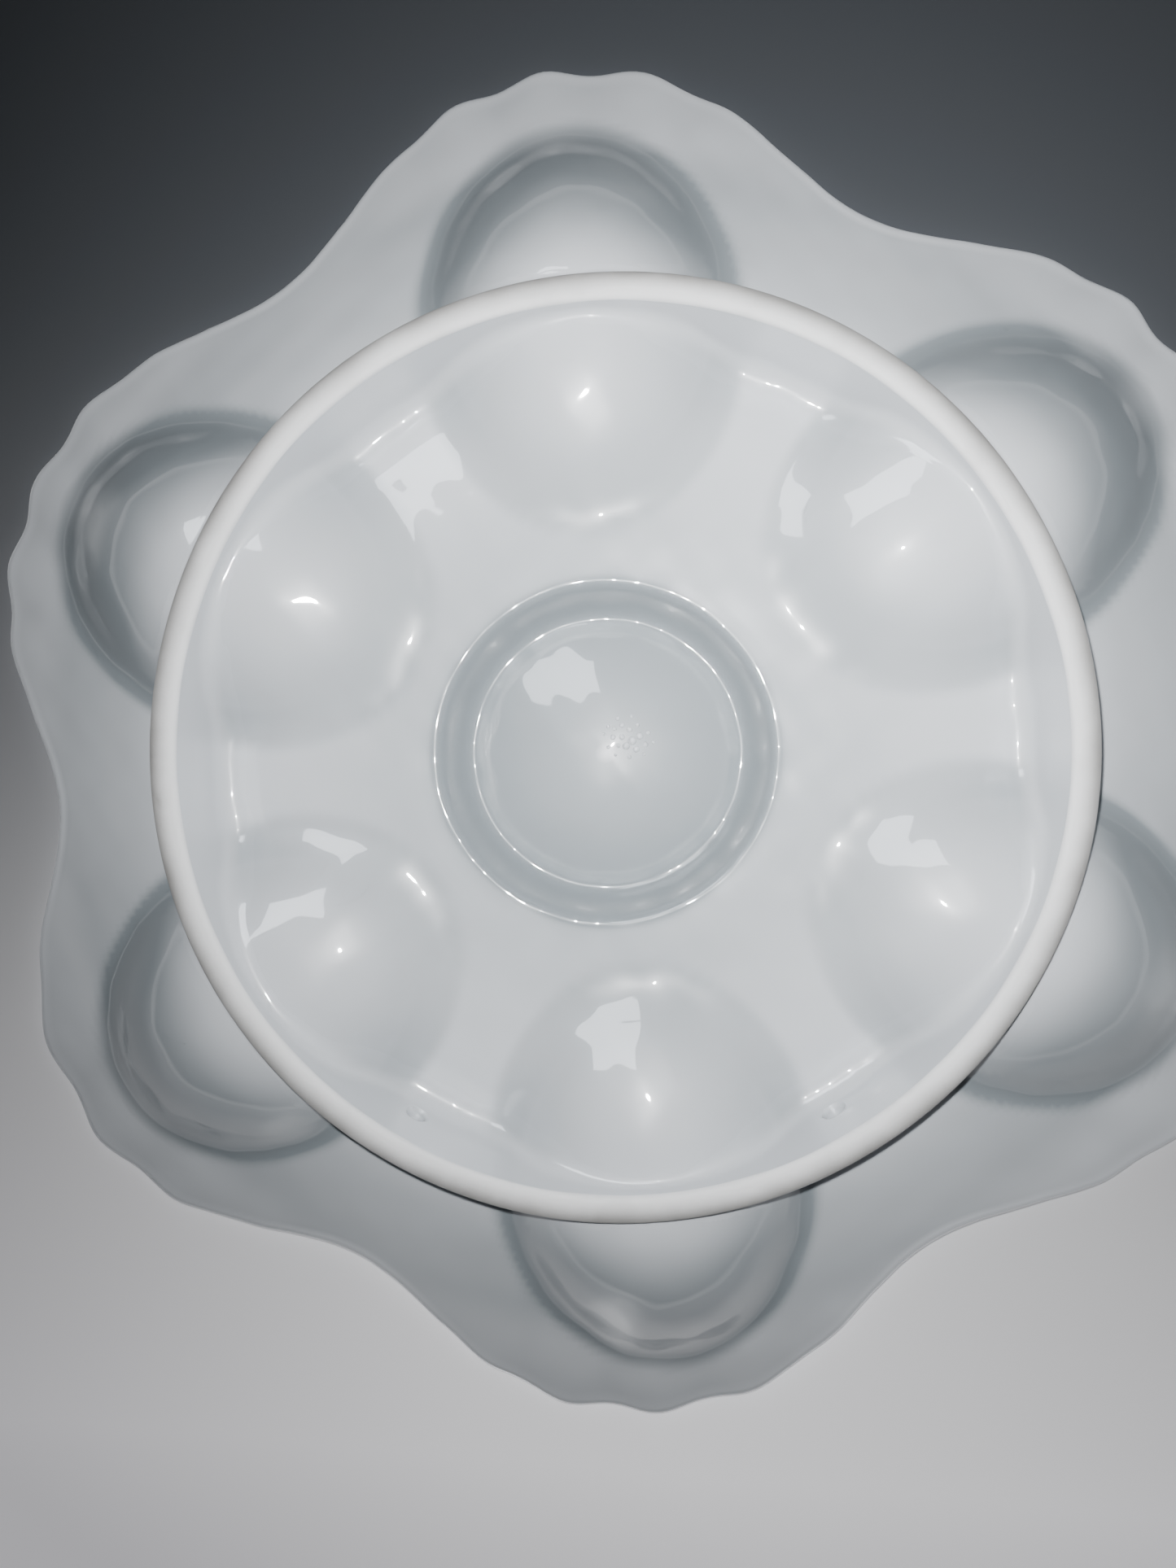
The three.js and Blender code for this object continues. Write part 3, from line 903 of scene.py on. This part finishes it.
def set_matrix(made, placing):
    """Places an object by its flattened matrix."""
    matrix = made.matrix_world.copy()
    for i in range(4):
        matrix.col[i] = placing[4 * i : 4 * i + 4]
    made.matrix_world = matrix


def camera():
    """A short camera close under the plate, tilted about three and a half degrees off its axis."""
    data = bpy.data.cameras.new("camera")
    data.lens, data.sensor_width, data.sensor_fit = 26, 36, "AUTO"
    data.clip_start, data.clip_end = 5 * MM, 60
    made = bpy.data.objects.new("camera", data)
    bpy.context.scene.collection.objects.link(made)
    ahead = unit(UP_AXIS - 0.0575 * RIGHT + 0.0188 * DOWN)
    set_matrix(made, facing(EYE, RIGHT, -ahead))
    bpy.context.scene.camera = made


def area_light(name, position, target, width, height, power, tint, shape="RECTANGLE"):
    """A flat lamp at position that shines at target, with a width and height in metres and a power in
    watts."""
    data = bpy.data.lights.new(name, "AREA")
    data.shape, data.size, data.size_y, data.energy = shape, width, height, power
    data.color = linear(tint)[:3]
    made = bpy.data.objects.new(name, data)
    bpy.context.scene.collection.objects.link(made)
    away = unit(np.array(position) - np.array(target))
    set_matrix(made, facing(position, RIGHT, away))
    return made


def plane(name, height, reach, down, material):
    """A square that faces up, or down if `down`. It throws no shadow and no light back, and only one
    that faces down shows in reflections."""
    corners = np.array([[-1, -1], [1, -1], [1, 1], [-1, 1]]) * reach
    points = np.column_stack([corners, np.full(4, height)])
    quads = np.array([[3, 2, 1, 0] if down else [0, 1, 2, 3]])
    made = new_piece(name, points, quads, np.empty((0, 3), int), material, {})
    made.visible_shadow = False
    made.visible_diffuse = False
    made.visible_glossy = down
    return made


def table_paper(tree):
    """An even pale matt paper, with a glow that evens out the light's fall towards its ends."""
    matt = node(tree, "ShaderNodeBsdfDiffuse", {"Color": list(looks().table)}).outputs[0]
    glow = node(tree, "ShaderNodeEmission", {"Color": linear("fbfcff"), "Strength": TABLE_GLOW}).outputs[0]
    return node(tree, "ShaderNodeAddShader", {0: matt, 1: glow}).outputs[0]


def backdrop_paper(tree):
    """A matt paper whose colour darkens towards the plate's -Y, by a power of the way there: a painted
    fall of light, with a glow that stands for the room's light on its pale end."""
    place = node(tree, "ShaderNodeTexCoord").outputs["Object"]
    axes = node(tree, "ShaderNodeSeparateXYZ", {0: place}).outputs
    slanted = {0: axes["X"], 1: BACKDROP_SLANT, 2: axes["Y"]}
    down = node(tree, "ShaderNodeMath", slanted, operation="MULTIPLY_ADD").outputs[0]
    limits = {"Value": down, "From Min": BACKDROP_DARK, "From Max": BACKDROP_PALE}
    share = node(tree, "ShaderNodeMapRange", limits).outputs[0]
    curved = node(tree, "ShaderNodeMath", {0: share, 1: BACKDROP_POWER}, operation="POWER").outputs[0]
    # dark and pale ends of the painted fall of light
    ends = {0: curved, 6: linear("484b4f"), 7: linear("ffffff")}
    paper = node(tree, "ShaderNodeMix", ends, data_type="RGBA").outputs[2]
    matt = node(tree, "ShaderNodeBsdfDiffuse", {"Color": paper}).outputs[0]
    power = node(tree, "ShaderNodeMath", {0: curved, 1: BACKDROP_GLOW}, operation="MULTIPLY").outputs[0]
    glow = node(tree, "ShaderNodeEmission", {"Color": linear("fbf9ff"), "Strength": power}).outputs[0]
    return node(tree, "ShaderNodeAddShader", {0: matt, 1: glow}).outputs[0]


def world():
    """Even studio light: pale above and at the horizon, dimmer from below."""
    made = bpy.data.worlds.new("studio")
    made.use_nodes = True
    tree = made.node_tree
    tree.nodes.clear()
    place = node(tree, "ShaderNodeTexCoord").outputs["Generated"]
    height = node(tree, "ShaderNodeSeparateXYZ", {0: place}).outputs["Z"]
    limits = {"Value": height, "From Min": -HORIZON_FADE, "From Max": 0.0}
    share = node(tree, "ShaderNodeMapRange", limits).outputs[0]
    halves = {0: share, 6: ROOM_BELOW, 7: ROOM_ABOVE}
    light = node(tree, "ShaderNodeMix", halves, data_type="RGBA").outputs[2]
    back = node(tree, "ShaderNodeBackground", {"Color": light, "Strength": 1.0}).outputs[0]
    node(tree, "ShaderNodeOutputWorld", {"Surface": back})
    bpy.context.scene.world = made


def lamps():
    """A small flash beside the camera, which lights the underside, a panel that shows there only in
    reflections, a bounce that shows in none, and over the plate a key, a fill and four upright strips
    round it."""
    flash_at = EYE + (-5 * RIGHT - 9 * DOWN) * MM
    flash_target = CENTRE + (22 * RIGHT - 26 * DOWN) * MM
    flash = area_light("flash", flash_at, flash_target, 6 * MM, 6 * MM, 0.32, "ffffff", "DISK")
    flash.data.spread = math.radians(100)
    panel_way = unit(-UP_AXIS - 0.42 * RIGHT - 0.62 * DOWN)
    panel = area_light("panel", CENTRE + 0.45 * panel_way, CENTRE, 0.22, 0.14, 1.4, "f2f8ff")
    panel.visible_diffuse = False
    bounce_way = unit(-0.45 * UP_AXIS + 0.75 * RIGHT - 0.6 * DOWN)
    bounce = area_light("bounce", CENTRE + 0.6 * bounce_way, CENTRE, 0.4, 0.4, 0.55, "fbfdff")
    bounce.visible_glossy = False
    area_light("key", np.array([-0.5, -0.45, 0.85]), CENTRE, 0.6, 0.6, 14, "fffaf4")
    area_light("fill", np.array([0.7, 0.2, 0.5]), CENTRE, 0.5, 0.5, 4, "f4f8ff")
    for number, turn in enumerate(STRIP_ANGLES):
        place = np.array([STRIP_RADIUS * math.cos(turn), STRIP_RADIUS * math.sin(turn), STRIP_HEIGHT])
        area_light(f"strip_{number + 1}", place, CENTRE, 0.12, 0.5, 1.6, "fbfcff")


def stage():
    """Table, backdrop, lamps, world and camera."""
    plane("table", 0, TABLE_REACH, False, one_sided("table_paper", table_paper))
    backdrop_height = HEIGHT + BACKDROP_GAP
    plane("backdrop", backdrop_height, BACKDROP_REACH, True, one_sided("backdrop_paper", backdrop_paper))
    lamps()
    world()
    camera()


# ---------------------------------------------------------------- operators


class EGGPLATE_OT_shell(bpy.types.Operator):
    """Form the glazed shell with its six wells, centre cup and frilled rim"""

    bl_idname = "egg_plate.shell"
    bl_label = "Form glazed shell"

    def execute(self, context):
        shell = shell_piece()
        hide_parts("plate_body", "centre_cup", *[f"egg_well_{i + 1}" for i in range(LOBES)])
        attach(shell, "root")
        return {"FINISHED"}


class EGGPLATE_OT_foot_ring(bpy.types.Operator):
    """Form the foot ring with its bare standing edge and two hanging holes"""

    bl_idname = "egg_plate.foot_ring"
    bl_label = "Form foot ring"

    def execute(self, context):
        ring = ring_piece()
        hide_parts("foot_ring")
        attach(ring, "root")
        return {"FINISHED"}


class EGGPLATE_OT_bubbles(bpy.types.Operator):
    """Raise the small bubbles in the glaze of the cup"""

    bl_idname = "egg_plate.bubbles"
    bl_label = "Raise glaze bubbles"

    def execute(self, context):
        bubbles = bubbles_piece()
        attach(bubbles, "root")
        return {"FINISHED"}


class EGGPLATE_OT_stage(bpy.types.Operator):
    """Set out the table, backdrop, lamps and camera"""

    bl_idname = "egg_plate.stage"
    bl_label = "Set the stage"

    def execute(self, context):
        stage()
        return {"FINISHED"}


OPERATORS = (EGGPLATE_OT_stage, EGGPLATE_OT_shell, EGGPLATE_OT_foot_ring, EGGPLATE_OT_bubbles)


class EGGPLATE_PT_panel(bpy.types.Panel):
    """The plate's sizes, colours and steps"""

    bl_idname = "EGGPLATE_PT_panel"
    bl_label = "Egg plate"
    bl_space_type = "VIEW_3D"
    bl_region_type = "UI"
    bl_category = "Egg plate"

    def draw(self, context):
        for group in (context.scene.egg_plate_sizes, context.scene.egg_plate_looks):
            for key in group.bl_rna.properties.keys():
                if key not in ("rna_type", "name"):
                    self.layout.prop(group, key)
        for operator in OPERATORS:
            self.layout.operator(operator.bl_idname)


CLASSES = (EGGPLATE_PG_sizes, EGGPLATE_PG_looks, *OPERATORS, EGGPLATE_PT_panel)


def register():
    """Registers the classes and hangs the settings on the scene."""
    for cls in CLASSES:
        bpy.utils.register_class(cls)
    bpy.types.Scene.egg_plate_sizes = bpy.props.PointerProperty(type=EGGPLATE_PG_sizes)
    bpy.types.Scene.egg_plate_looks = bpy.props.PointerProperty(type=EGGPLATE_PG_looks)


def unregister():
    """Takes the settings and classes away again."""
    del bpy.types.Scene.egg_plate_looks
    del bpy.types.Scene.egg_plate_sizes
    for cls in reversed(CLASSES):
        bpy.utils.unregister_class(cls)


def main():
    """Makes the stage and every piece in order."""
    register()
    bpy.ops.egg_plate.stage()
    bpy.ops.egg_plate.shell()
    bpy.ops.egg_plate.foot_ring()
    bpy.ops.egg_plate.bubbles()


if __name__ == "__main__":
    main()
